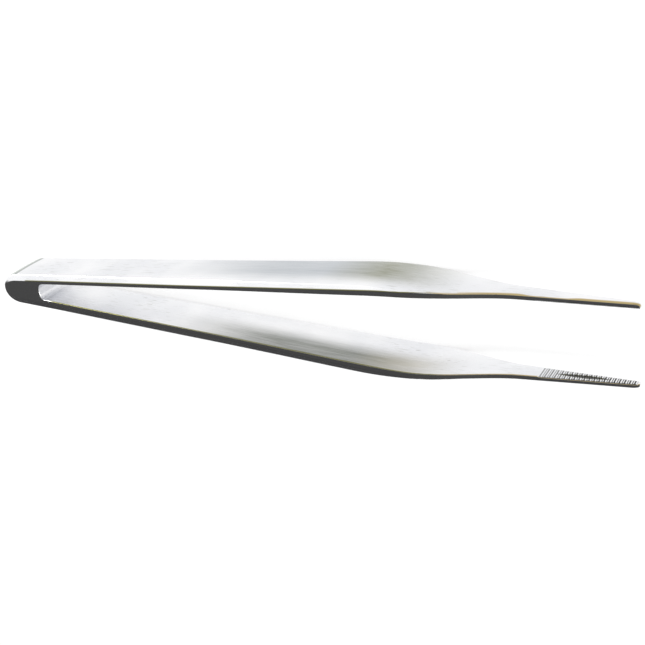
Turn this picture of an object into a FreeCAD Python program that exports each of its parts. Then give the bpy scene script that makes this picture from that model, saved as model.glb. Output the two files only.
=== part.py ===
# Thumb forceps: one solid of stainless steel, lying on its long side edges.
# X runs from the butt to the tips, Y is the way the two arms open, Z is up
# across the width. The model is built with the butt's end at X = 0 and its
# middle plane at Z = 0, and is moved to its rest place at the end.
import FreeCAD, Part
import math
import os

from FreeCAD import Vector

# Lengths along the instrument, in millimetres from the butt's end
overallLength = 145.0
slotStart = 10.6
flatLength = 14.0
waistAt = 50.0
bellyAt = 100.0
jawRootAt = 123.0
teethStart = 126.3
teethEnd = 144.7

# Widths of an arm, seen from its outer face
buttWidth = 11.1
waistWidth = 11.9
bellyWidth = 13.3
jawRootWidth = 4.35
tipWidth = 1.3

# Gap between the arms and the way it runs
rootHalfGap = 1.15
armSlope = 0.0685
jawSlope = -0.0135
shoulderAt = 101.0
shoulderLength = 16.2
slotFillet = 1.3

# Thickness of an arm over its inner edges
buttThickness = 2.3
gripThickness = 2.45
jawThickness = 0.98
tipThickness = 0.92
gripAt = 90.0
jawThinAt = 112.5

# Form of an arm's cross section, with the flanks' lean in degrees
sideWallHandle = 0.76
sideWallGrip = 1.10
jawBevel = 0.10
flankHandle = 17.5
flankJaw = 50.0
cornerHandle = 0.38
cornerJaw = 0.05
handleCrown = 0.15
gripCrown = 0.40
jawCrown = 0.03
hollowDepth = 1.15
hollowStart = 30.0
hollowFull = 78.0
hollowEnd = 113.0
hollowRim = 0.4
hollowFade = 0.01

# The butt's two sides are ground flat and flush, then the wheel leaves the handle
grindDepth = 0.05
grindRunOut = 2.0
grindLift = 0.4

# Rounded butt end and rounded noses
buttRoundRadius = 4.0
buttRimRadius = 0.8
endFlat = 0.05
noseLength = 1.4
noseThicknessShare = 0.50
noseWidthShare = 0.85

# Serrations on the inner faces of the jaws
teethPerJaw = 40
toothDepth = 0.17
toothLand = 0.05

# Working clearances of the cutting tools, and the number of points and stations
toolMargin = 3.0
pickTolerance = 0.01
arcPoints = 5
endSteps = 6
handleSteps = 4
shoulderSteps = 19
jawSteps = 2
noseSteps = 3
hollowSteps = 10
crestRelief = 0.02


def ease(x, start, end):
    t = min(max((x - start) / (end - start), 0.0), 1.0)
    return t * t * (3.0 - 2.0 * t)


def mix(first, second, share):
    return first + (second - first) * share


def ramp(x, start, end):
    return min(max((x - start) / (end - start), 0.0), 1.0)


def noseFactor(x, share):
    # Quarter ellipse from full size at the nose's start to a share of it at the tip
    t = ramp(x, overallLength - noseLength, overallLength)
    return mix(share, 1.0, math.sqrt(1.0 - t * t))


def endFactor(x):
    # Full round of the butt's end, cut off by a hair so that it keeps a small flat
    t = 1.0 - ramp(x + endFlat, 0.0, buttRoundRadius)
    return math.sqrt(1.0 - t * t)


def rimLossAt(x):
    t = 1.0 - ramp(x + endFlat, 0.0, buttRimRadius)
    return buttRimRadius * (1.0 - math.sqrt(1.0 - t * t))


def widthAt(x):
    handle = mix(buttWidth + 2.0 * grindDepth, waistWidth, ramp(x, flatLength, waistAt))
    handle = mix(handle, bellyWidth, ease(x, waistAt, bellyAt))
    jaw = mix(jawRootWidth, tipWidth, (x - jawRootAt) / (overallLength - jawRootAt))
    width = mix(handle, jaw, ease(x, bellyAt, jawRootAt)) * noseFactor(x, noseWidthShare)
    return width - 2.0 * rimLossAt(x)


def halfGapAt(x):
    # Two straight runs joined by a parabola, so the tangent turns evenly
    bendStart = shoulderAt - shoulderLength / 2.0
    bent = min(max(x - bendStart, 0.0), shoulderLength)
    after = max(x - bendStart - shoulderLength, 0.0)
    turn = jawSlope - armSlope
    return rootHalfGap + armSlope * x + turn * (bent * bent / (2.0 * shoulderLength) + after)


def thicknessAt(x):
    handle = mix(buttThickness, gripThickness, ease(x, flatLength, gripAt))
    jaw = mix(jawThickness, tipThickness, ramp(x, jawThinAt, overallLength))
    return mix(handle, jaw, ease(x, gripAt, jawThinAt)) * noseFactor(x, noseThicknessShare)


def sideWallAt(x):
    handle = mix(sideWallHandle, sideWallGrip, ease(x, waistAt, bellyAt))
    jaw = thicknessAt(x) - jawBevel * noseFactor(x, noseThicknessShare)
    return mix(handle, jaw, ease(x, bellyAt, jawThinAt))


def flankAt(x):
    return math.radians(mix(flankHandle, flankJaw, ease(x, bellyAt, jawThinAt)))


def cornerAt(x):
    return mix(cornerHandle, cornerJaw, ease(x, bellyAt, jawThinAt)) * noseFactor(x, noseThicknessShare)


def crownAt(x):
    handle = mix(handleCrown, gripCrown, ease(x, flatLength, gripAt))
    return mix(handle, jawCrown, ease(x, gripAt, jawThinAt)) * noseFactor(x, noseThicknessShare)


def hollowAt(x):
    return hollowDepth * ease(x, hollowStart, hollowFull) * (1.0 - ease(x, bellyAt, hollowEnd))


def spread(start, end, count):
    return [mix(start, end, step / count) for step in range(count)]


def splineEdge(points):
    curve = Part.BSplineCurve()
    curve.interpolate(Points=points, Parameters=[float(step) for step in range(len(points))])
    return curve.toShape()


def outerEdges(x, side):
    # Wall top to wall top over an arm: a leaning flank, a small corner, a low crown
    # and the same back. A corner's circle touches its flank and the crown's circle.
    halfWidth = widthAt(x) / 2.0
    corner = cornerAt(x)
    crown = crownAt(x)
    lean = flankAt(x)
    crownRadius = (halfWidth * halfWidth + crown * crown) / (2.0 * crown)
    crownCentre = thicknessAt(x) - sideWallAt(x) - crownRadius
    across = halfWidth - corner * math.cos(lean)
    up = -corner * math.sin(lean) - crownCentre
    along = up * math.cos(lean) - across * math.sin(lean)
    slide = math.sqrt(along * along - across * across - up * up + (crownRadius - corner) ** 2) - along
    across -= slide * math.sin(lean)
    up += slide * math.cos(lean)
    turn = math.atan2(up, across)

    def place(acrossAt, upAt):
        height = (halfGapAt(x) + sideWallAt(x) + upAt) * endFactor(x)
        return Vector(x, side * height, side * acrossAt)

    def arc(radius, acrossCentre, upCentre, first, last):
        angles = [mix(first, last, step / (arcPoints - 1)) for step in range(arcPoints)]
        return splineEdge([place(acrossCentre + radius * math.cos(angle), upCentre + radius * math.sin(angle))
                           for angle in angles])

    halfTurn = math.pi
    corners = [arc(corner, across, up + crownCentre, lean, turn),
               arc(crownRadius, 0.0, crownCentre, turn, halfTurn - turn),
               arc(corner, -across, up + crownCentre, halfTurn - turn, halfTurn - lean)]
    return [Part.makeLine(place(halfWidth, 0.0), corners[0].Vertexes[0].Point)] + corners + [
        Part.makeLine(corners[-1].Vertexes[-1].Point, place(-halfWidth, 0.0))]


def outerSection(x):
    # Both arms with the gap between them filled, as one closed outline
    upper = outerEdges(x, 1)
    lower = outerEdges(x, -1)
    left = Part.makeLine(upper[-1].Vertexes[-1].Point, lower[0].Vertexes[0].Point)
    right = Part.makeLine(lower[-1].Vertexes[-1].Point, upper[0].Vertexes[0].Point)
    return Part.Wire(upper + [left] + lower + [right])


def makeOuterBody():
    # Butt end, ground flat, handle, belly and shoulder, jaws, noses
    stations = []
    for step in range(endSteps):
        turn = math.pi / 2.0 * step / endSteps
        stations.append(buttRoundRadius * (1.0 - math.cos(turn)))
    stations += [buttRoundRadius, flatLength]
    stations += spread(flatLength + grindRunOut, waistAt, handleSteps)
    stations += spread(waistAt, gripAt, handleSteps) + spread(gripAt, jawRootAt, shoulderSteps)
    stations += spread(jawRootAt, overallLength - noseLength, jawSteps)
    for step in range(noseSteps + 1):
        reach = math.sin(math.pi / 2.0 * step / noseSteps)
        stations.append(mix(overallLength - noseLength, overallLength, reach))
    return Part.makeLoft([outerSection(x) for x in stations], True, True)


def makeGrindingTool(side):
    # Seen from above: flat over the butt, then leaving the handle's side
    flat = side * buttWidth / 2.0
    beyond = flat + side * (grindLift + toolMargin)
    corners = [(-toolMargin, flat), (flatLength, flat), (flatLength + grindRunOut, flat + side * grindLift),
               (flatLength + grindRunOut, beyond), (-toolMargin, beyond)]
    outline = Part.makePolygon([Vector(x, -bellyWidth, z) for x, z in corners + corners[:1]])
    return Part.Face(outline).extrude(Vector(0.0, 2.0 * bellyWidth, 0.0))


def makeGapTool():
    # The side view of the open space, run straight across the width. Two lines
    # and a parabola follow each inner face, and the slot's end has round corners.
    bendStart = shoulderAt - shoulderLength / 2.0
    bendEnd = shoulderAt + shoulderLength / 2.0
    beyond = overallLength + toolMargin

    def innerPoint(x, side):
        return Vector(x, side * halfGapAt(x), -bellyWidth)

    def innerEdges(side):
        knee = Vector(shoulderAt, side * (rootHalfGap + armSlope * shoulderAt), -bellyWidth)
        bend = Part.BezierCurve()
        bend.setPoles([innerPoint(bendStart, side), knee, innerPoint(bendEnd, side)])
        return [Part.makeLine(innerPoint(slotStart, side), innerPoint(bendStart, side)), bend.toShape(),
                Part.makeLine(innerPoint(bendEnd, side), innerPoint(beyond, side))]

    ends = [Part.makeLine(innerPoint(slotStart, 1), innerPoint(slotStart, -1)),
            Part.makeLine(innerPoint(beyond, 1), innerPoint(beyond, -1))]
    outline = Part.Wire(Part.__sortEdges__(innerEdges(1) + innerEdges(-1) + ends))
    tool = Part.Face(outline).extrude(Vector(0.0, 0.0, 2.0 * bellyWidth))
    corners = [edge for edge in tool.Edges
               if edge.BoundBox.XMax < slotStart + pickTolerance and edge.BoundBox.ZLength > bellyWidth]
    return tool.makeFillet(slotFillet, corners)


def makeHollowCutter(side):
    # The grip is pressed hollow inside: arcs from rim to rim that deepen and fade
    def section(x):
        halfWidth = widthAt(x) / 2.0 - hollowRim
        rim = side * halfGapAt(x)
        floor = side * (halfGapAt(x) + hollowAt(x))
        first = Vector(x, rim, -halfWidth)
        last = Vector(x, rim, halfWidth)
        inside = Vector(0.0, -side * rootHalfGap / 2.0, 0.0)
        arc = Part.Arc(first, Vector(x, floor, 0.0), last).toShape()
        return Part.Wire([arc, Part.makeLine(last, last + inside),
                          Part.makeLine(last + inside, first + inside), Part.makeLine(first + inside, first)])

    inset = hollowFade * (hollowEnd - hollowStart)
    stations = spread(hollowStart + inset, hollowEnd - inset, hollowSteps) + [hollowEnd - inset]
    return Part.makeLoft([section(x) for x in stations], True, True)


def makeSerrationCutter(side):
    # A comb of V grooves whose crests stop just short of the jaw's inner face
    pitch = (teethEnd - teethStart) / teethPerJaw
    shift = pitch / 2.0 if side < 0 else 0.0
    half = (pitch - toothLand) / 2.0
    points = []
    for tooth in range(teethPerJaw):
        middle = teethStart + (tooth + 0.5) * pitch - shift
        for x, cut in ((middle - half, -crestRelief), (middle, toothDepth), (middle + half, -crestRelief)):
            points.append(Vector(x, side * (halfGapAt(x) + cut), -jawRootWidth))
    base = side * rootHalfGap
    points.append(Vector(points[-1].x, base, -jawRootWidth))
    points.append(Vector(points[0].x, base, -jawRootWidth))
    outline = Part.makePolygon(points + [points[0]])
    return Part.Face(outline).extrude(Vector(0.0, 0.0, 2.0 * jawRootWidth))


def makeForceps():
    body = makeOuterBody().cut(makeGapTool())
    for side in (1, -1):
        body = body.cut(makeGrindingTool(side))
        body = body.cut(makeHollowCutter(side))
        body = body.cut(makeSerrationCutter(side))
    solid = body.Solids[0]
    return solid.translated(Vector(-overallLength / 2.0, 0.0, bellyWidth / 2.0))


os.makedirs("parts", exist_ok=True)
makeForceps().exportStep("parts/forceps.step")
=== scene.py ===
import math

import bmesh
import bpy
from mathutils import Matrix, Vector


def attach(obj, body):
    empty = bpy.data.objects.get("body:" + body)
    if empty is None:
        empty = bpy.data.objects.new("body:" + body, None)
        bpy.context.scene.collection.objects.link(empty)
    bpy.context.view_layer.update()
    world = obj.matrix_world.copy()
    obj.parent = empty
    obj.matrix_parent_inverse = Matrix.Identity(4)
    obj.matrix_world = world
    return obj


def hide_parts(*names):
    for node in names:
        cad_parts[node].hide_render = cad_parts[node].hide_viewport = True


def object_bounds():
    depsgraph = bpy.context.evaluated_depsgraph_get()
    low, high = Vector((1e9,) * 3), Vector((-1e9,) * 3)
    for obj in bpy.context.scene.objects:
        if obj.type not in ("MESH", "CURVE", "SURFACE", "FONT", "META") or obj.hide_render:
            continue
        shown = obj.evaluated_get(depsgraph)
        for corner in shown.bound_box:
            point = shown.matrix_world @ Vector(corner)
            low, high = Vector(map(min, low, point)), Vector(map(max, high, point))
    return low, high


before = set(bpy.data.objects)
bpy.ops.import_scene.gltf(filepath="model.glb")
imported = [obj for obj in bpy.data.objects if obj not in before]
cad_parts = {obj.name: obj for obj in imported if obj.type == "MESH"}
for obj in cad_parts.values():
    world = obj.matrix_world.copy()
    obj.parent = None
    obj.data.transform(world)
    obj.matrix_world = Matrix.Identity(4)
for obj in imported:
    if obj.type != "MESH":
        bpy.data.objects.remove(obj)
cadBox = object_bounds()

mm = 0.001
quarterTurn = math.pi / 2.0
tiny = 0.0001


def addNode(tree, kind, settings=None, inputs=()):
    # settings are the node's own properties. Inputs go by name, number or order, and are
    # values, sockets or other nodes, which stand for their first output in use
    node = tree.nodes.new(kind)
    for name, value in (settings or {}).items():
        setattr(node, name, value)
    for name, value in inputs.items() if isinstance(inputs, dict) else enumerate(inputs):
        if isinstance(value, bpy.types.Node):
            value = next(socket for socket in value.outputs if socket.enabled)
        if isinstance(value, bpy.types.NodeSocket):
            tree.links.new(value, node.inputs[name])
        else:
            node.inputs[name].default_value = value
    return node


# Settings that several nodes share
floats = dict(data_type="FLOAT")
colours = dict(data_type="RGBA")
smooth = dict(interpolation_type="SMOOTHSTEP")
onPoints = dict(data_type="FLOAT", domain="POINT")


def linearColour(hexCode):
    channels = [int(hexCode[i:i + 2], 16) / 255.0 for i in (1, 3, 5)]
    return [c / 12.92 if c <= 0.04045 else ((c + 0.055) / 1.055) ** 2.4 for c in channels] + [1.0]


def mix(first, second, share):
    return first + (second - first) * share


def ramp(x, start, end):
    return min(max((x - start) / (end - start), 0.0), 1.0)


def ease(x, start, end):
    t = ramp(x, start, end)
    return t * t * (3.0 - 2.0 * t)


# The two arms and the butt that joins them, in millimetres from the butt's end, with
# the flanks' lean in degrees
arm = dict(
    length=145.0, slotStart=10.6, flatLength=14.0, waistAt=50.0, bellyAt=100.0, jawRootAt=123.0,
    buttWidth=11.1, waistWidth=11.9, bellyWidth=13.3, jawRootWidth=4.35, tipWidth=1.3,
    rootHalfGap=1.15, slope=0.0685, jawSlope=-0.0135, shoulderAt=101.0, shoulderLength=16.2,
    slotFillet=1.3,
    buttThickness=2.3, gripThickness=2.45, jawThickness=0.98, tipThickness=0.92,
    gripAt=90.0, jawThinAt=112.5,
    sideWallHandle=0.76, sideWallGrip=1.10, jawBevel=0.10,
    flankHandle=17.5, flankJaw=50.0, cornerHandle=0.38, cornerJaw=0.05,
    handleCrown=0.15, gripCrown=0.40, jawCrown=0.03,
    hollowDepth=1.15, hollowStart=30.0, hollowFull=78.0, hollowEnd=113.0, hollowRim=0.4,
    buttRound=4.0, buttRim=0.8, noseLength=1.4, noseThick=0.50, noseWide=0.85,
    edgeRound=0.10, edgeRows=(0.0, 0.10, 0.24), support=0.06, weld=0.0008,
    longStep=1.0, shortStep=0.5, arcSteps=8, edgeSteps=4, noseSteps=12,
)

# Bronze tint on the near edge of the upper arm: a fine line, wider on two stretches
tarnish = dict(line=0.17, patch=0.70, fade=3.0, patches=((109.5, 126.0), (131.5, 150.0)))

# The serrations on the inner faces of the jaws, and the groove along their middle
serration = dict(
    start=126.3, end=144.7, count=40, depth=0.17, land=0.05, across=24, stepLength=0.01)
groove = dict(start=129.4, end=139.6, width=1.2, depth=0.14, stainFrom=0.05)


def noseFactor(x, share):
    # 1 along the arm, rounding down to share at the very tip
    t = ramp(x, arm["length"] - arm["noseLength"], arm["length"])
    return mix(share, 1.0, math.sqrt(1.0 - t * t))


def widthAt(x):
    handle = mix(arm["buttWidth"], arm["waistWidth"], ramp(x, arm["flatLength"], arm["waistAt"]))
    handle = mix(handle, arm["bellyWidth"], ease(x, arm["waistAt"], arm["bellyAt"]))
    along = (x - arm["jawRootAt"]) / (arm["length"] - arm["jawRootAt"])
    jaw = mix(arm["jawRootWidth"], arm["tipWidth"], along)
    return mix(handle, jaw, ease(x, arm["bellyAt"], arm["jawRootAt"])) * noseFactor(x, arm["noseWide"])


def halfGapAt(x):
    bendStart = arm["shoulderAt"] - arm["shoulderLength"] / 2.0
    bent = min(max(x - bendStart, 0.0), arm["shoulderLength"])
    after = max(x - bendStart - arm["shoulderLength"], 0.0)
    turn = arm["jawSlope"] - arm["slope"]
    bend = turn * (bent * bent / (2.0 * arm["shoulderLength"]) + after)
    return arm["rootHalfGap"] + arm["slope"] * x + bend


def thicknessAt(x):
    handle = mix(arm["buttThickness"], arm["gripThickness"], ease(x, arm["flatLength"], arm["gripAt"]))
    jaw = mix(arm["jawThickness"], arm["tipThickness"], ramp(x, arm["jawThinAt"], arm["length"]))
    return mix(handle, jaw, ease(x, arm["gripAt"], arm["jawThinAt"])) * noseFactor(x, arm["noseThick"])


def sideWallAt(x):
    handle = mix(arm["sideWallHandle"], arm["sideWallGrip"], ease(x, arm["waistAt"], arm["bellyAt"]))
    jaw = thicknessAt(x) - arm["jawBevel"] * noseFactor(x, arm["noseThick"])
    return mix(handle, jaw, ease(x, arm["bellyAt"], arm["jawThinAt"]))


def flankAt(x):
    lean = mix(arm["flankHandle"], arm["flankJaw"], ease(x, arm["bellyAt"], arm["jawThinAt"]))
    return math.radians(lean)


def cornerAt(x):
    corner = mix(arm["cornerHandle"], arm["cornerJaw"], ease(x, arm["bellyAt"], arm["jawThinAt"]))
    return corner * noseFactor(x, arm["noseThick"])


def crownAt(x):
    handle = mix(arm["handleCrown"], arm["gripCrown"], ease(x, arm["flatLength"], arm["gripAt"]))
    crown = mix(handle, arm["jawCrown"], ease(x, arm["gripAt"], arm["jawThinAt"]))
    return crown * noseFactor(x, arm["noseThick"])


def hollowAt(x):
    deepening = ease(x, arm["hollowStart"], arm["hollowFull"])
    return arm["hollowDepth"] * deepening * (1.0 - ease(x, arm["bellyAt"], arm["hollowEnd"]))


def innerFaceAt(x):
    # The jaws' inner faces lie a tooth's depth back where the serrations stand on them
    toothed = serration["start"] <= x <= serration["end"]
    return halfGapAt(x) + (serration["depth"] if toothed else 0.0)


def outerProfile(x, share):
    # (across, drop below the crest) from edge to edge: flank, corner, low crown.
    # share runs from 0 at the butt's very end, with its small rim, to 1 on the arm.
    halfWidth = widthAt(x) / 2.0
    corner = mix(arm["buttRim"], cornerAt(x), share)
    crown = max(crownAt(x) * share * share, 0.001)
    lean = flankAt(x) * share
    rise = mix(arm["buttRim"], thicknessAt(x) - sideWallAt(x), share)
    crownRadius = (halfWidth * halfWidth + crown * crown) / (2.0 * crown)
    crownCentre = rise - crownRadius
    across = halfWidth - corner * math.cos(lean)
    up = -corner * math.sin(lean) - crownCentre
    along = up * math.cos(lean) - across * math.sin(lean)
    slide = math.sqrt(along * along - across * across - up * up + (crownRadius - corner) ** 2) - along
    across -= slide * math.sin(lean)
    up += slide * math.cos(lean)
    turn = math.atan2(up, across)
    support = arm["support"] * noseFactor(x, arm["noseThick"])
    flankEnd = (across + corner * math.cos(lean), rise - (up + crownCentre + corner * math.sin(lean)))
    half = [(halfWidth, rise + support)]
    # rows close to the edge keep the tint's border sharp
    for reach in arm["edgeRows"]:
        part = min(reach / max(slide, 0.001), reach * 2.0)
        half.append((mix(halfWidth, flankEnd[0], part), mix(rise, flankEnd[1], part)))
    for step in range(arm["arcSteps"] + 1):
        angle = mix(lean, turn, step / arm["arcSteps"])
        half.append((across + corner * math.cos(angle),
                     rise - up - crownCentre - corner * math.sin(angle)))
    for step in range(1, arm["arcSteps"] + 1):
        angle = mix(turn, quarterTurn, step / arm["arcSteps"])
        half.append((crownRadius * math.cos(angle), crownRadius * (1.0 - math.sin(angle))))
    return [(-across, drop) for across, drop in half[:-1]] + half[::-1]


def tarnishAt(x, fromEdge):
    # How far the bronze tint reaches from the upper arm's near edge over its outer face
    reach = tarnish["line"]
    fade = tarnish["fade"]
    for start, end in tarnish["patches"]:
        reach += tarnish["patch"] * ease(x, start, start + fade) * (1.0 - ease(x, end - fade, end))
    return 1.0 - ease(fromEdge, reach * 0.5, reach)


def innerProfile(x, halfWidth):
    # (across, height over the inner face), with rounded edges and the pressed hollow
    edge = arm["edgeRound"] * noseFactor(x, arm["noseThick"])
    half = [(halfWidth, edge + arm["support"] * noseFactor(x, arm["noseThick"]))]
    for step in range(arm["edgeSteps"] + 1):
        angle = quarterTurn * step / arm["edgeSteps"]
        half.append((halfWidth - edge + edge * math.cos(angle), edge - edge * math.sin(angle)))
    reach = halfWidth - arm["hollowRim"] * noseFactor(x, arm["noseThick"])
    half.append((mix(halfWidth - edge, reach, 0.6), 0.0))
    for step in range(arm["arcSteps"] + 1):
        across = reach * math.cos(quarterTurn * step / arm["arcSteps"])
        half.append((across, hollowAt(x) * (1.0 - (across / reach) ** 2)))
    return half + [(-across, up) for across, up in half[-2::-1]]


def makeOutlines():
    # Matching points (x, y) of the outer and inner outlines of one arm in the side
    # view. Round the butt the inner one runs along the middle line to the slot.
    roundSteps, blockSteps, wallSteps, filletSteps = 16, 5, 4, 8
    outer = []
    for step in range(roundSteps + 1):
        turn = quarterTurn * step / roundSteps
        x = arm["buttRound"] * (1.0 - math.cos(turn))
        outer.append((x, (halfGapAt(x) + thicknessAt(x)) * math.sin(turn), math.sin(turn) ** 2))
    joinAt = arm["slotStart"] + 2.0 * arm["slotFillet"]
    spare = blockSteps + wallSteps + filletSteps
    for step in range(1, spare + 1):
        x = mix(arm["buttRound"], joinAt, step / spare)
        outer.append((x, halfGapAt(x) + thicknessAt(x), 1.0))

    inner = []
    solidSteps = roundSteps + blockSteps
    rimEnd = arm["buttRim"] + 2.0 * arm["support"]
    for step in range(solidSteps + 1):
        inner.append((mix(rimEnd, arm["slotStart"], step / solidSteps), 0.0))
    lean = math.atan(arm["slope"])
    centreX = arm["slotStart"] + arm["slotFillet"]
    centreY = halfGapAt(centreX) - arm["slotFillet"] / math.cos(lean)
    for step in range(1, wallSteps + 1):
        inner.append((arm["slotStart"], centreY * step / wallSteps))
    for step in range(1, filletSteps + 1):
        turn = (quarterTurn + lean) * step / filletSteps
        inner.append((centreX - arm["slotFillet"] * math.cos(turn),
                      centreY + arm["slotFillet"] * math.sin(turn)))

    stations = []
    x = joinAt + arm["longStep"]
    while x < arm["length"] - arm["noseLength"]:
        stations.append(x)
        x += arm["longStep"] if x < arm["waistAt"] else arm["shortStep"]
    # the jaws' faces step back by a tooth's depth under the serrations
    start, end, gap = serration["start"], serration["end"], serration["stepLength"]
    stations += [start - gap, start, end, end + gap]
    for step in range(arm["noseSteps"] + 1):
        turn = quarterTurn * step / arm["noseSteps"]
        stations.append(arm["length"] - arm["noseLength"] * (1.0 - math.sin(turn)))
    for x in sorted(stations):
        outer.append((x, halfGapAt(x) + thicknessAt(x), 1.0))
        inner.append((x, innerFaceAt(x)))
    return outer, inner, solidSteps, solidSteps + wallSteps + filletSteps


def outwardNormal(points, i):
    # To the left of the way the outline runs
    before = points[max(i - 1, 0)]
    after = points[min(i + 1, len(points) - 1)]
    along = Vector((after[0] - before[0], after[1] - before[1])).normalized()
    return Vector((-along.y, along.x))


def makeUpperHalf():
    outer, inner, slotIndex, armIndex = makeOutlines()
    half = bmesh.new()
    wearLayer = half.verts.layers.float.new("edgeWear")
    rings = []
    for i, (over, under) in enumerate(zip(outer, inner)):
        normal = outwardNormal(outer, i) if over[0] < arm["bellyAt"] else Vector((0.0, 1.0))
        if i == 0:
            normal = Vector((-1.0, 0.0))
        halfWidth = widthAt(over[0]) / 2.0
        ring = []
        profile = outerProfile(over[0], over[2])
        for across, drop in profile:
            place = Vector(over[:2]) - normal * drop
            fromEdge = math.hypot(across - profile[-2][0], drop - profile[-2][1])
            worn = tarnishAt(over[0], fromEdge) if drop <= profile[-2][1] and i > slotIndex else 0.0
            ring.append((place, across, worn))
        outerCount = len(ring)
        if i < slotIndex:
            ring.append((Vector(under), halfWidth, 0.0))
            ring.append((Vector(under), -halfWidth, 0.0))
        else:
            normal = -outwardNormal(inner, i) if slotIndex < i <= armIndex else Vector((0.0, -1.0))
            if i == slotIndex:
                normal = Vector((1.0, 0.0))
            for across, up in innerProfile(under[0], halfWidth):
                place = Vector(under) - normal * up
                worn = -1.0 if 0.0 < halfWidth - across < 1.5 * arm["edgeRound"] and i > armIndex else 0.0
                ring.append((place, across, worn))
        verts = []
        for place, across, worn in ring:
            vert = half.verts.new((place.x, place.y, across))
            vert[wearLayer] = worn
            verts.append(vert)
        rings.append(verts)
    for i, (first, second) in enumerate(zip(rings, rings[1:])):
        for j in range(outerCount - 1):
            half.faces.new((first[j], second[j], second[j + 1], first[j + 1]))
        half.faces.new((first[outerCount - 1], second[outerCount - 1],
                        second[outerCount], first[outerCount]))
        half.faces.new((first[-1], second[-1], second[0], first[0]))
        if i >= slotIndex:
            for j in range(outerCount, len(first) - 1):
                half.faces.new((first[j], second[j], second[j + 1], first[j + 1]))
    half.faces.new(rings[-1])
    return half


def makeBody():
    half = makeUpperHalf()
    bmesh.ops.recalc_face_normals(half, faces=half.faces)
    mirrored = bmesh.ops.duplicate(half, geom=half.verts[:] + half.edges[:] + half.faces[:])["geom"]
    lowerVerts = [item for item in mirrored if isinstance(item, bmesh.types.BMVert)]
    lowerFaces = [item for item in mirrored if isinstance(item, bmesh.types.BMFace)]
    bmesh.ops.scale(half, vec=(1.0, -1.0, 1.0), verts=lowerVerts)
    bmesh.ops.reverse_faces(half, faces=lowerFaces)
    bmesh.ops.remove_doubles(half, verts=half.verts, dist=arm["weld"])
    bmesh.ops.recalc_face_normals(half, faces=half.faces)
    # the upper arm keeps its outer edge's tint (stored above zero), the lower its inner edge's
    wearLayer = half.verts.layers.float["edgeWear"]
    for vert in half.verts:
        vert[wearLayer] = max(vert[wearLayer] if vert.co.y > 0.0 else -vert[wearLayer], 0.0)
    toFrame = Matrix.Translation((-arm["length"] / 2.0 * mm, 0.0, arm["bellyWidth"] / 2.0 * mm))
    bmesh.ops.transform(half, matrix=toFrame @ Matrix.Scale(mm, 4), verts=half.verts)
    openEdges = [edge for edge in half.edges if len(edge.link_faces) != 2]
    print("body open edges", len(openEdges))
    mesh = bpy.data.meshes.new("forcepsBody")
    half.to_mesh(mesh)
    half.free()
    mesh.polygons.foreach_set("use_smooth", [True] * len(mesh.polygons))
    body = bpy.data.objects.new("forcepsBody", mesh)
    bpy.context.scene.collection.objects.link(body)
    return body


# What a row of teeth is given
rowInputs = (("Count", "Int"), ("First", "Float"), ("Pitch", "Float"), ("Depth", "Float"),
             ("Land", "Float"), ("Half Gap", "Float"), ("Jaw Slope", "Float"))


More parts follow.
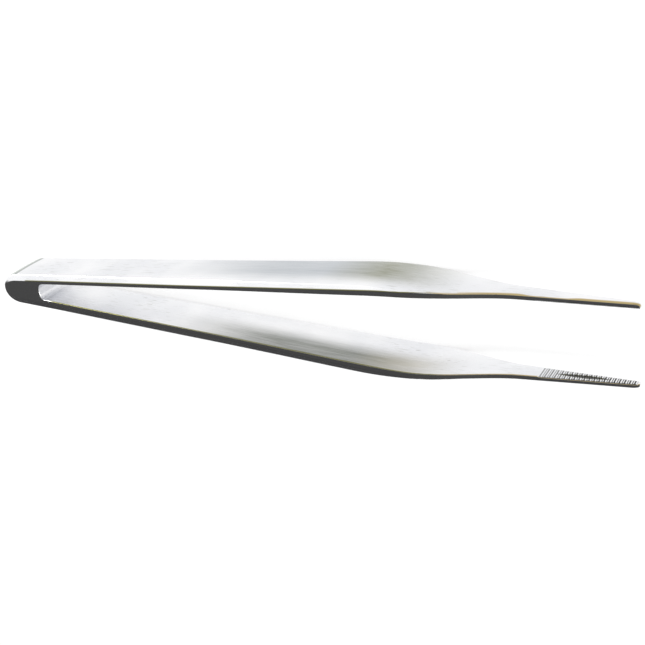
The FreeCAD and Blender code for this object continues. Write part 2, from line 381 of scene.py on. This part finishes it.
def makeToothRowTree():
    # One jaw's row of teeth: a ridge on every point of a line along the jaw
    tree = bpy.data.node_groups.new("toothRow", "GeometryNodeTree")
    face = tree.interface
    for name, kind in rowInputs:
        face.new_socket(name, in_out="INPUT", socket_type="NodeSocket" + kind)
    face.new_socket("Teeth", in_out="OUTPUT", socket_type="NodeSocketGeometry")
    given = addNode(tree, "NodeGroupInput").outputs

    sideStep = addNode(tree, "ShaderNodeMath", dict(operation="MULTIPLY"), (
        given["Pitch"], given["Jaw Slope"]))
    middle = addNode(tree, "ShaderNodeMath", dict(operation="MULTIPLY_ADD"), (
        given["Depth"], 0.5, given["Half Gap"]))
    begin = addNode(tree, "ShaderNodeCombineXYZ", None, (given["First"], middle))
    step = addNode(tree, "ShaderNodeCombineXYZ", None, (given["Pitch"], sideStep))
    line = addNode(tree, "GeometryNodeMeshLine", dict(mode="OFFSET"), {
        "Count": given["Count"], "Start Location": begin, "Offset": step})

    size = addNode(tree, "ShaderNodeCombineXYZ", None, (given["Pitch"], given["Depth"], 1.0))
    block = addNode(tree, "GeometryNodeMeshCube", None, {
        "Size": size, "Vertices X": 2, "Vertices Y": 2, "Vertices Z": serration["across"] + 1})
    place = addNode(tree, "GeometryNodeInputPosition")
    spot = addNode(tree, "ShaderNodeSeparateXYZ", None, (place,)).outputs
    isCrest = addNode(tree, "ShaderNodeMath", dict(operation="LESS_THAN"), (spot[1], 0.0))
    landShare = addNode(tree, "ShaderNodeMath", dict(operation="DIVIDE"), (
        given["Land"], given["Pitch"]))
    drawnIn = addNode(tree, "ShaderNodeMath", dict(operation="MULTIPLY"), (spot[0], landShare))
    pulled = addNode(tree, "ShaderNodeMix", floats, {0: isCrest, 2: spot[0], 3: drawnIn})
    pinched = addNode(tree, "ShaderNodeCombineXYZ", None, (pulled, spot[1], spot[2]))
    tooth = addNode(tree, "GeometryNodeSetPosition", None, {"Geometry": block, "Position": pinched})

    # the row narrows with the jaw and rounds in with its nose
    place = addNode(tree, "GeometryNodeInputPosition")
    along = addNode(tree, "ShaderNodeSeparateXYZ", None, (place,)).outputs[0]
    taper = addNode(tree, "ShaderNodeMapRange", dict(clamp=False), (
        along, arm["jawRootAt"], arm["length"], arm["jawRootWidth"], arm["tipWidth"]))
    reach = addNode(tree, "ShaderNodeMapRange", None, (
        along, arm["length"] - arm["noseLength"], arm["length"]))
    square = addNode(tree, "ShaderNodeMath", dict(operation="MULTIPLY"), (reach, reach))
    left = addNode(tree, "ShaderNodeMath", dict(operation="SUBTRACT"), (1.0, square))
    nose = addNode(tree, "ShaderNodeMath", dict(operation="SQRT"), (left,))
    noseScale = addNode(tree, "ShaderNodeMath", dict(operation="MULTIPLY_ADD"), (
        nose, 1.0 - arm["noseWide"], arm["noseWide"]))
    width = addNode(tree, "ShaderNodeMath", dict(operation="MULTIPLY"), (taper, noseScale))
    scale = addNode(tree, "ShaderNodeCombineXYZ", None, (1.0, 1.0, width))
    ridges = addNode(tree, "GeometryNodeInstanceOnPoints", None, {
        "Points": line, "Instance": tooth, "Scale": scale})
    real = addNode(tree, "GeometryNodeRealizeInstances", None, {"Geometry": ridges})
    flat = addNode(tree, "GeometryNodeSetShadeSmooth", None, {"Geometry": real, "Shade Smooth": False})
    addNode(tree, "NodeGroupOutput", None, (flat,))
    return tree


def makeSerrationTree(material):
    # Both rows with the groove along their middle, joined to the smooth body
    tree = bpy.data.node_groups.new("serratedJaws", "GeometryNodeTree")
    face = tree.interface
    face.new_socket("Body", in_out="INPUT", socket_type="NodeSocketGeometry")
    names = rowInputs + (("Groove Start", "Float"), ("Groove End", "Float"),
                         ("Groove Width", "Float"), ("Groove Depth", "Float"))
    for name, kind in names:
        face.new_socket(name, in_out="INPUT", socket_type="NodeSocket" + kind)
    face.new_socket("Forceps", in_out="OUTPUT", socket_type="NodeSocketGeometry")
    given = addNode(tree, "NodeGroupInput").outputs

    rowTree = makeToothRowTree()
    # the lower jaw's teeth stand half a pitch back, so that the two rows mesh
    halfPitch = addNode(tree, "ShaderNodeMath", dict(operation="MULTIPLY"), (given["Pitch"], 0.5))
    halfStep = addNode(tree, "ShaderNodeMath", dict(operation="MULTIPLY"), (
        halfPitch, given["Jaw Slope"]))
    lowerFirst = addNode(tree, "ShaderNodeMath", dict(operation="SUBTRACT"), (
        given["First"], halfPitch))
    lowerGap = addNode(tree, "ShaderNodeMath", dict(operation="SUBTRACT"), (
        given["Half Gap"], halfStep))
    rows = []
    for changes in ({}, {"First": lowerFirst, "Half Gap": lowerGap}):
        row = addNode(tree, "GeometryNodeGroup", dict(node_tree=rowTree), {
            name: changes.get(name, given[name]) for name, kind in rowInputs})
        place = addNode(tree, "GeometryNodeInputPosition")
        spot = addNode(tree, "ShaderNodeSeparateXYZ", None, (place,)).outputs
        # 1 at the middle of the groove's lens, 0 at its outline, along and across
        reach = addNode(tree, "ShaderNodeMapRange", None, (
            spot[0], given["Groove Start"], given["Groove End"], -1.0, 1.0))
        square = addNode(tree, "ShaderNodeMath", dict(operation="MULTIPLY"), (reach, reach))
        bow = addNode(tree, "ShaderNodeMath", dict(operation="SUBTRACT"), (1.0, square))
        isAlong = addNode(tree, "ShaderNodeMath", dict(operation="GREATER_THAN"), (bow, tiny))
        safeBow = addNode(tree, "ShaderNodeMath", dict(operation="MAXIMUM"), (bow, tiny))
        halfWidth = addNode(tree, "ShaderNodeMath", dict(operation="MULTIPLY"), (
            given["Groove Width"], 0.5))
        halfLens = addNode(tree, "ShaderNodeMath", dict(operation="MULTIPLY"), (halfWidth, safeBow))
        off = addNode(tree, "ShaderNodeMath", dict(operation="DIVIDE"), (spot[2], halfLens))
        square = addNode(tree, "ShaderNodeMath", dict(operation="MULTIPLY"), (off, off))
        isInside = addNode(tree, "ShaderNodeMath", dict(operation="SUBTRACT", use_clamp=True), (
            1.0, square))
        inLens = addNode(tree, "ShaderNodeMath", dict(operation="MULTIPLY"), (isInside, isAlong))
        # crests are nearer the gap than the middle of the teeth's depth
        middle = addNode(tree, "ShaderNodeMath", dict(operation="MULTIPLY_ADD"), (
            given["Depth"], 0.5, given["Half Gap"]))
        along = addNode(tree, "ShaderNodeMath", dict(operation="SUBTRACT"), (spot[0], given["First"]))
        faceLine = addNode(tree, "ShaderNodeMath", dict(operation="MULTIPLY_ADD"), (
            along, given["Jaw Slope"], middle))
        isCrest = addNode(tree, "ShaderNodeMath", dict(operation="LESS_THAN"), (spot[1], faceLine))
        bowl = addNode(tree, "ShaderNodeMath", dict(operation="POWER"), (inLens, 0.5))
        dip = addNode(tree, "ShaderNodeMath", dict(operation="MULTIPLY"), (bowl, given["Groove Depth"]))
        sunk = addNode(tree, "ShaderNodeMath", dict(operation="MULTIPLY"), (dip, isCrest))
        offset = addNode(tree, "ShaderNodeCombineXYZ", None, {1: sunk})
        marked = addNode(tree, "GeometryNodeSetPosition", None, {"Geometry": row, "Offset": offset})
        shallow = addNode(tree, "ShaderNodeMath", dict(operation="MULTIPLY"), (inLens, bow))
        isCut = addNode(tree, "ShaderNodeMath", dict(operation="GREATER_THAN"), (
            shallow, groove["stainFrom"]))
        isValley = addNode(tree, "ShaderNodeMath", dict(operation="SUBTRACT"), (1.0, isCrest))
        for name, value in (("edgeWear", isCut), ("toothValley", isValley), ("toothed", 1.0)):
            marked = addNode(tree, "GeometryNodeStoreNamedAttribute", onPoints, {
                "Geometry": marked, "Name": name, "Value": value})
        rows.append(marked)
    turned = addNode(tree, "GeometryNodeTransform", None, {
        "Geometry": rows[1], "Rotation": (math.pi, 0.0, 0.0)})
    both = addNode(tree, "GeometryNodeJoinGeometry", None, (turned,))
    tree.links.new(rows[0].outputs[0], both.inputs[0])
    inFrame = addNode(tree, "GeometryNodeTransform", None, {
        "Geometry": both, "Scale": (mm, mm, mm),
        "Translation": (-arm["length"] / 2.0 * mm, 0.0, arm["bellyWidth"] / 2.0 * mm)})
    whole = addNode(tree, "GeometryNodeJoinGeometry", None, (inFrame,))
    tree.links.new(given["Body"], whole.inputs[0])
    real = addNode(tree, "GeometryNodeRealizeInstances", None, {"Geometry": whole})
    dressed = addNode(tree, "GeometryNodeSetMaterial", None, {"Geometry": real, "Material": material})
    addNode(tree, "NodeGroupOutput", None, (dressed,))
    return tree


def setInputs(modifier, tree, values):
    for item in tree.interface.items_tree:
        if item.item_type == "SOCKET" and item.in_out == "INPUT" and item.name in values:
            modifier[item.identifier] = values[item.name]


def makeSerrated(body, material):
    tree = makeSerrationTree(material)
    pitch = (serration["end"] - serration["start"]) / serration["count"]
    first = serration["start"] + pitch / 2.0
    modifier = body.modifiers.new("serrations", "NODES")
    modifier.node_group = tree
    setInputs(modifier, tree, {
        "Count": serration["count"], "First": first, "Pitch": pitch, "Depth": serration["depth"],
        "Land": serration["land"], "Half Gap": halfGapAt(first), "Jaw Slope": arm["jawSlope"],
        "Groove Start": groove["start"], "Groove End": groove["end"], "Groove Width": groove["width"],
        "Groove Depth": groove["depth"]})
    bpy.context.view_layer.update()
    evaluated = body.evaluated_get(bpy.context.evaluated_depsgraph_get())
    mesh = bpy.data.meshes.new_from_object(evaluated)
    body.modifiers.remove(modifier)
    body.data = mesh
    return body


# Satin stainless steel: forged, brushed lengthwise, its narrow long sides ground
# smooth. What it gives the eye: hairlines along the arms, fine scratches, tarnish.
# Lengths are in millimetres, and a pair says where a thing sets in and where it is full.
steel = dict(
    # the third colour is a painted reflection on the long sides, the fourth painted shade on the teeth
    colour="#F4F4F5", shade="#E6E7EA", sideReflectionShade="#ACACAD", teethShadeColour="#201F18",
    edgeOlive="#77743F", edgeBronze="#B5A16D", bronzeAt=(6.0, 9.0),
    # the butt end's painted reflection colour, and the painted line at its crease
    paintedEndReflection="#C6CCC7", endSoftness=0.1, creaseShade="#8F9590", creaseWidth=0.6,
    scratch="#B4B4AE", scratchFrom=(0.70, 0.76), scratchPatches=(0.45, 0.60), scratchStrength=0.6,
    # noises: length, width, turn, detail and roughness
    grain=(9.0, 0.22, 0.0, 3.0, 0.6), clouds=(16.0, 16.0, 0.0, 2.0, 0.5),
    scratches=(2.4, 0.16, 0.5, 0.0, 0.5),
    satin=0.30, roughnessSpread=0.08, satinFrom=(0.3, 0.7), grainDepth=0.004,
    ground=0.17, groundGrain=0.05, groundFrom=(0.75, 0.90), cloudFrom=(0.35, 0.65),
    sideFull=0.12, sideFrom=0.22, uprightFrom=(0.3, 0.6),
    # how the teeth's painted shade and dark valleys spread and reach along the teeth
    valleyDarkSwing=0.20, teethShadeLeast=0.55, teethShadeReach=6.0, valleyDarkFrom=(0.54, 0.66), shadedFlankFacing=(-0.5, -0.2),
)


# The stretch of the grips painted greyer, a painted reflection of the table's shadow, in
# millimetres from the middle of the length and, across, from the table
paintedShadowReflection = dict(
    start=-32.0, full=0.0, fade=20.0, end=42.0, softness=2.8, lowerFrom=5.2, upperTo=10.0,
    lowerWarm=(15.0, 29.0), upperWarm=(10.0, 22.0),
    lowerTones=("#6F726A", "#A29B84"), upperTones=("#B5BABF", "#898B76"),
    outwardFrom=(0.3, 0.6), grainFrom=(0.35, 0.65), leastShare=0.75,
)


def makeSteel():
    material = bpy.data.materials.new("satinBrushedStainless")
    material.use_nodes = True
    tree = material.node_tree
    tree.nodes.clear()
    where = addNode(tree, "ShaderNodeTexCoord").outputs["Object"]
    spot = addNode(tree, "ShaderNodeSeparateXYZ", None, (where,)).outputs

    # the pattern leans out with the arms up to the shoulder, so that hairlines follow them
    leaning = addNode(tree, "ShaderNodeMath", dict(operation="MULTIPLY_ADD"), (
        spot[0], arm["slope"], arm["length"] / 2.0 * arm["slope"] * mm))
    lean = addNode(tree, "ShaderNodeMath", dict(operation="MINIMUM"), (
        leaning, (halfGapAt(arm["jawRootAt"]) - arm["rootHalfGap"]) * mm))
    across = addNode(tree, "ShaderNodeMath", dict(operation="ABSOLUTE"), (spot[1],))
    onFace = addNode(tree, "ShaderNodeMath", dict(operation="SUBTRACT"), (across, lean))
    onArm = addNode(tree, "ShaderNodeCombineXYZ", None, (spot[0], onFace, spot[2]))

    # each noise is as long and as fine as its marks; hairlines run along X
    noises = []
    for length, width, turn, detail, roughness in (steel["grain"], steel["clouds"], steel["scratches"]):
        place = addNode(tree, "ShaderNodeMapping", None, {
            "Vector": onArm, "Rotation": (0.0, turn, 0.0),
            "Scale": (1.0 / (length * mm), 1.0 / (width * mm), 1.0 / (width * mm))})
        noises.append(addNode(tree, "ShaderNodeTexNoise", None, {
            "Vector": place, "Scale": 1.0, "Detail": detail, "Roughness": roughness}))
    grain, clouds, scratch = noises
    wear, valley, toothed = [
        addNode(tree, "ShaderNodeAttribute", dict(attribute_name=name)).outputs["Fac"]
        for name in ("edgeWear", "toothValley", "toothed")]
    normal = addNode(tree, "ShaderNodeNewGeometry").outputs["Normal"]
    facing = addNode(tree, "ShaderNodeSeparateXYZ", None, (normal,)).outputs
    upright = addNode(tree, "ShaderNodeMath", dict(operation="ABSOLUTE"), (facing[2],))
    isGround = addNode(tree, "ShaderNodeMapRange", None, (upright, *steel["groundFrom"], 0.0, 1.0))

    cloudy = addNode(tree, "ShaderNodeMapRange", None, (clouds, *steel["cloudFrom"], 0.0, 1.0))
    tone = addNode(tree, "ShaderNodeMix", colours, {
        0: cloudy, 6: linearColour(steel["colour"]), 7: linearColour(steel["shade"])})
    # painted reflection of the table's shadow: the grips are painted greyer on the upper
    # arm's outer face below its middle and on the lower arm's inner face above it
    isUpper = addNode(tree, "ShaderNodeMath", dict(operation="GREATER_THAN"), (spot[1], 0.0))
    softness = paintedShadowReflection["softness"]
    lowerFrom, upperTo = paintedShadowReflection["lowerFrom"], paintedShadowReflection["upperTo"]
    lowerPart = addNode(tree, "ShaderNodeMapRange", smooth, (
        spot[2], (lowerFrom - softness) * mm, (lowerFrom + softness) * mm, 0.0, 1.0))
    upperPart = addNode(tree, "ShaderNodeMapRange", smooth, (
        spot[2], (upperTo - softness) * mm, (upperTo + softness) * mm, 1.0, 0.0))
    shadowReflectionShare = addNode(tree, "ShaderNodeMix", floats, {0: isUpper, 2: lowerPart, 3: upperPart})
    begins = addNode(tree, "ShaderNodeMapRange", smooth, (
        spot[0], paintedShadowReflection["start"] * mm, paintedShadowReflection["full"] * mm, 0.0, 1.0))
    ends = addNode(tree, "ShaderNodeMapRange", smooth, (
        spot[0], paintedShadowReflection["fade"] * mm, paintedShadowReflection["end"] * mm, 1.0, 0.0))
    outward = addNode(tree, "ShaderNodeMapRange", None, (facing[1], *paintedShadowReflection["outwardFrom"], 0.0, 1.0))
    uneven = addNode(tree, "ShaderNodeMapRange", None, (
        grain, *paintedShadowReflection["grainFrom"], paintedShadowReflection["leastShare"], 1.0))
    for share in (outward, begins, ends, uneven):
        shadowReflectionShare = addNode(tree, "ShaderNodeMath", dict(operation="MULTIPLY"), (shadowReflectionShare, share))
    shadowReflectionTones = []
    for (cool, warm), reach in ((paintedShadowReflection["lowerTones"], paintedShadowReflection["lowerWarm"]),
                                (paintedShadowReflection["upperTones"], paintedShadowReflection["upperWarm"])):
        warmth = addNode(tree, "ShaderNodeMapRange", None, (
            spot[0], reach[0] * mm, reach[1] * mm, 0.0, 1.0))
        shadowReflectionTones.append(addNode(tree, "ShaderNodeMix", colours, {
            0: warmth, 6: linearColour(cool), 7: linearColour(warm)}))
    shadowReflectionTone = addNode(tree, "ShaderNodeMix", colours, {0: isUpper, 6: shadowReflectionTones[0], 7: shadowReflectionTones[1]})
    tone = addNode(tree, "ShaderNodeMix", colours, {0: shadowReflectionShare, 6: tone, 7: shadowReflectionTone})
    # the narrow long sides are painted darker, a painted reflection of the dark surroundings; then fine
    # scratches
    sideways = addNode(tree, "ShaderNodeMath", dict(operation="ABSOLUTE"), (facing[1],))
    level = addNode(tree, "ShaderNodeMapRange", None, (
        sideways, steel["sideFull"], steel["sideFrom"], 1.0, 0.0))
    isShadedSide = addNode(tree, "ShaderNodeMath", dict(operation="MULTIPLY"), (isGround, level))
    tone = addNode(tree, "ShaderNodeMix", colours, {
        0: isShadedSide, 6: tone, 7: linearColour(steel["sideReflectionShade"])})
    line = addNode(tree, "ShaderNodeMapRange", None, (scratch, *steel["scratchFrom"], 0.0, 1.0))
    patch = addNode(tree, "ShaderNodeMapRange", None, (
        clouds, *steel["scratchPatches"], 0.0, steel["scratchStrength"]))
    isScratch = addNode(tree, "ShaderNodeMath", dict(operation="MULTIPLY"), (line, patch))
    scratched = addNode(tree, "ShaderNodeMix", colours, {
        0: isScratch, 6: tone, 7: linearColour(steel["scratch"])})
    # painted reflection: the butt's rounded end is painted greyer, and a darker painted line marks the
    # soft crease where it meets the outer faces
    endAt = (arm["buttRound"] - arm["length"] / 2.0) * mm
    endSoftness = steel["endSoftness"] * mm
    isEnd = addNode(tree, "ShaderNodeMapRange", None, (
        spot[0], endAt - endSoftness, endAt + endSoftness, 1.0, 0.0))
    beyond = addNode(tree, "ShaderNodeMath", dict(operation="SUBTRACT"), (spot[0], endAt))
    fromCrease = addNode(tree, "ShaderNodeMath", dict(operation="ABSOLUTE"), (beyond,))
    creaseShade = addNode(tree, "ShaderNodeMapRange", None, (
        fromCrease, 0.0, steel["creaseWidth"] * mm, 1.0, 0.0))
    sides = addNode(tree, "ShaderNodeMapRange", None, (upright, *steel["uprightFrom"], 1.0, 0.0))
    endFace = addNode(tree, "ShaderNodeMath", dict(operation="MULTIPLY"), (isEnd, sides))
    shaded = addNode(tree, "ShaderNodeMix", colours, {
        0: endFace, 6: scratched, 7: linearColour(steel["paintedEndReflection"])})
    paintedCreaseLine = addNode(tree, "ShaderNodeMath", dict(operation="MULTIPLY"), (creaseShade, sides))
    ended = addNode(tree, "ShaderNodeMix", colours, {
        0: paintedCreaseLine, 6: shaded, 7: linearColour(steel["creaseShade"])})
    # the tarnish is olive along the grips and in the groove, and bronze along the jaws
    bellyAt = arm["bellyAt"] - arm["length"] / 2.0
    bronzeFrom, bronzeTo = steel["bronzeAt"]
    bronze = addNode(tree, "ShaderNodeMapRange", None, (
        spot[0], (bellyAt + bronzeFrom) * mm, (bellyAt + bronzeTo) * mm, 0.0, 1.0))
    olive = linearColour(steel["edgeOlive"])
    tint = addNode(tree, "ShaderNodeMix", colours, {
        0: bronze, 6: olive, 7: linearColour(steel["edgeBronze"])})
    tarnished = addNode(tree, "ShaderNodeMix", colours, {0: toothed, 6: tint, 7: olive})
    worn = addNode(tree, "ShaderNodeMix", colours, {0: wear, 6: ended, 7: tarnished})
    # painted shade on the teeth's flanks that face the butt, away from the lamps, and a dark
    # colour at the bottom of the valleys. The teeth are about as fine as a pixel, so every
    # other valley is painted a little darker, which lets their lines show
    pitch = (serration["end"] - serration["start"]) / serration["count"] * mm
    teethAt = (serration["start"] - arm["length"] / 2.0) * mm
    along = addNode(tree, "ShaderNodeMath", dict(operation="SUBTRACT"), (spot[0], teethAt))
    turns = addNode(tree, "ShaderNodeMath", dict(operation="MULTIPLY"), (along, math.pi / pitch))
    swing = addNode(tree, "ShaderNodeMath", dict(operation="SINE"), (turns,))
    valleyDarkness = addNode(tree, "ShaderNodeMath", dict(operation="MULTIPLY_ADD"), (
        swing, steel["valleyDarkSwing"], valley))
    flank = addNode(tree, "ShaderNodeMapRange", None, (facing[0], *steel["shadedFlankFacing"], 1.0, 0.0))
    bottom = addNode(tree, "ShaderNodeMapRange", None, (valleyDarkness, *steel["valleyDarkFrom"], 0.0, 1.0))
    teethShadeAlong = addNode(tree, "ShaderNodeMapRange", None, (
        spot[0], teethAt, teethAt + steel["teethShadeReach"] * mm, steel["teethShadeLeast"], 1.0))
    flankShadeOrValley = addNode(tree, "ShaderNodeMath", dict(operation="MAXIMUM"), (flank, bottom))
    inTeeth = addNode(tree, "ShaderNodeMath", dict(operation="MULTIPLY"), (toothed, teethShadeAlong))
    teethShadeMask = addNode(tree, "ShaderNodeMath", dict(operation="MULTIPLY"), (flankShadeOrValley, inTeeth))
    colour = addNode(tree, "ShaderNodeMix", colours, {0: teethShadeMask, 6: worn, 7: linearColour(steel["teethShadeColour"])})
    halfSpread = steel["roughnessSpread"] / 2.0
    satin = addNode(tree, "ShaderNodeMapRange", None, (
        grain, *steel["satinFrom"], steel["satin"] - halfSpread, steel["satin"] + halfSpread))
    rough = addNode(tree, "ShaderNodeMix", floats, {0: isGround, 2: satin, 3: steel["ground"]})
    strength = addNode(tree, "ShaderNodeMapRange", None, (
        isGround, 0.0, 1.0, 1.0, steel["groundGrain"]))
    bump = addNode(tree, "ShaderNodeBump", None, {
        "Height": grain, "Distance": steel["grainDepth"] * mm, "Strength": strength})
    shader = addNode(tree, "ShaderNodeBsdfPrincipled", None, {
        "Base Color": colour, "Metallic": 1.0, "Roughness": rough, "Normal": bump})
    addNode(tree, "ShaderNodeOutputMaterial", None, {"Surface": shader})
    return material


# White table and surround. The sky is dark on the lower arm's side and darker still far
# out, for its ground long side and its outer flank, and dim on the upper arm's side
# towards the tips. A pair says where a sky sets in and is full, as a share of the direction
studio = dict(
    tableSize=4.0, tableDrop=0.00002, floorColour="#F2F2F2", floorWhite=1.08,
    cameraLift=0.65, mirrorLift=1.0, surround=1.1,
    dark=0.130, darkSpan=(0.10, 0.20), deep=0.46, deepSpan=(0.45, 0.62),
    dim=0.25, dimSpan=(0.20, 0.45), dimAhead=(-0.12, 0.08),
)


def makeStage():
    mesh = bpy.data.meshes.new("whiteTable")
    size = studio["tableSize"]
    mesh.from_pydata([(-size, -size, 0.0), (size, -size, 0.0), (size, size, 0.0), (-size, size, 0.0)], [],
                     [(0, 1, 2, 3)])
    table = bpy.data.objects.new("whiteTable", mesh)
    bpy.context.scene.collection.objects.link(table)
    table.location.z = cadBox[0].z - studio["tableDrop"]
    material = bpy.data.materials.new("whiteTablePaper")
    material.use_nodes = True
    tree = material.node_tree
    tree.nodes.clear()
    paper = addNode(tree, "ShaderNodeBsdfDiffuse", None, {"Color": linearColour(studio["floorColour"])})
    glow = addNode(tree, "ShaderNodeEmission", None, {
        "Color": (1.0, 1.0, 1.0, 1.0), "Strength": studio["floorWhite"]})
    # mirrors see the paper evenly white, the camera partly so, which softens its shadows
    path = addNode(tree, "ShaderNodeLightPath").outputs
    mirrored = addNode(tree, "ShaderNodeMath", dict(operation="MAXIMUM"), (
        path["Is Glossy Ray"], path["Is Transmission Ray"]))
    mirrorShare = addNode(tree, "ShaderNodeMath", dict(operation="MULTIPLY"), (
        mirrored, studio["mirrorLift"]))
    share = addNode(tree, "ShaderNodeMath", dict(operation="MULTIPLY_ADD"), (
        path["Is Camera Ray"], studio["cameraLift"], mirrorShare))
    surface = addNode(tree, "ShaderNodeMixShader", None, (share, paper, glow))
    addNode(tree, "ShaderNodeOutputMaterial", None, {"Surface": surface})
    mesh.materials.append(material)


def makeWorld():
    world = bpy.data.worlds.new("whiteStudio")
    world.use_nodes = True
    tree = world.node_tree
    tree.nodes.clear()
    ray = addNode(tree, "ShaderNodeTexCoord").outputs["Generated"]
    aim = addNode(tree, "ShaderNodeSeparateXYZ", None, (ray,)).outputs
    darkFrom, darkFull = studio["darkSpan"]
    dark = addNode(tree, "ShaderNodeMapRange", smooth, (
        aim[1], -darkFull, -darkFrom, studio["dark"], studio["surround"]))
    deepFrom, deepFull = studio["deepSpan"]
    deep = addNode(tree, "ShaderNodeMapRange", smooth, (
        aim[1], -deepFull, -deepFrom, studio["deep"], 1.0))
    sideways = addNode(tree, "ShaderNodeMapRange", smooth, (aim[1], *studio["dimSpan"]))
    forwards = addNode(tree, "ShaderNodeMapRange", smooth, (aim[0], *studio["dimAhead"]))
    away = addNode(tree, "ShaderNodeMath", dict(operation="MULTIPLY"), (sideways, forwards))
    dimmed = addNode(tree, "ShaderNodeMapRange", None, {
        "Value": away, "To Min": 1.0, "To Max": studio["dim"]})
    level = addNode(tree, "ShaderNodeMath", dict(operation="MULTIPLY"), (dark, deep))
    level = addNode(tree, "ShaderNodeMath", dict(operation="MULTIPLY"), (level, dimmed))
    seen = addNode(tree, "ShaderNodeLightPath").outputs["Is Camera Ray"]
    shown = addNode(tree, "ShaderNodeMix", floats, {0: seen, 2: level, 3: 1.0})
    sky = addNode(tree, "ShaderNodeBackground", None, {"Color": (1.0, 1.0, 1.0, 1.0), "Strength": shown})
    addNode(tree, "ShaderNodeOutputWorld", None, {"Surface": sky})
    bpy.context.scene.world = world


# Soft lamps: direction from the object, distance and size in metres, watts
lamps = dict(
    keyBeyondTheTips=((0.60, -0.20, 0.77), 1.2, 0.26, 6.9),
    alongTheGap=((0.85, 0.02, 0.52), 1.2, 0.26, 6.9),
    behindTheButt=((-0.75, 0.45, 0.48), 0.16, 0.06, 0.12),
)


def makeLamps():
    for name, (direction, distance, size, power) in lamps.items():
        light = bpy.data.lights.new(name, "AREA")
        light.shape = "DISK"
        light.size = size
        light.energy = power
        lamp = bpy.data.objects.new(name, light)
        lamp.location = Vector(direction).normalized() * distance
        lamp.rotation_mode = "QUATERNION"
        lamp.rotation_quaternion = (-Vector(direction)).to_track_quat("-Z", "Y")
        bpy.context.scene.collection.objects.link(lamp)


# The photograph's view: place in metres, turn in degrees, and focal length in pixels
# of its 645 pixel frame
shot = dict(
    place=(0.118842, 0.096413, 0.19981), turn=(-27.224, 27.014, -6.891), focal=1189.7, frame=645.0,
    sensor=36.0, near=0.005, far=20.0,
)


def makeCamera():
    data = bpy.data.cameras.new("photographView")
    data.sensor_width = shot["sensor"]
    data.lens = shot["focal"] / shot["frame"] * data.sensor_width
    data.clip_start = shot["near"]
    data.clip_end = shot["far"]
    camera = bpy.data.objects.new("photographView", data)
    camera.location = shot["place"]
    camera.rotation_euler = [math.radians(angle) for angle in shot["turn"]]
    bpy.context.scene.collection.objects.link(camera)
    bpy.context.scene.camera = camera


steelMaterial = makeSteel()
print("steel made")
forceps = makeBody()
print("body", len(forceps.data.polygons), "faces")
makeSerrated(forceps, steelMaterial)
print("serrated", len(forceps.data.polygons), "faces")
forceps.name = "satinForceps"
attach(forceps, "root")
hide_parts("forceps")

makeStage()
makeWorld()
makeLamps()
makeCamera()
bpy.context.scene.view_settings.view_transform = "Standard"
print("stage, lamps and camera made")
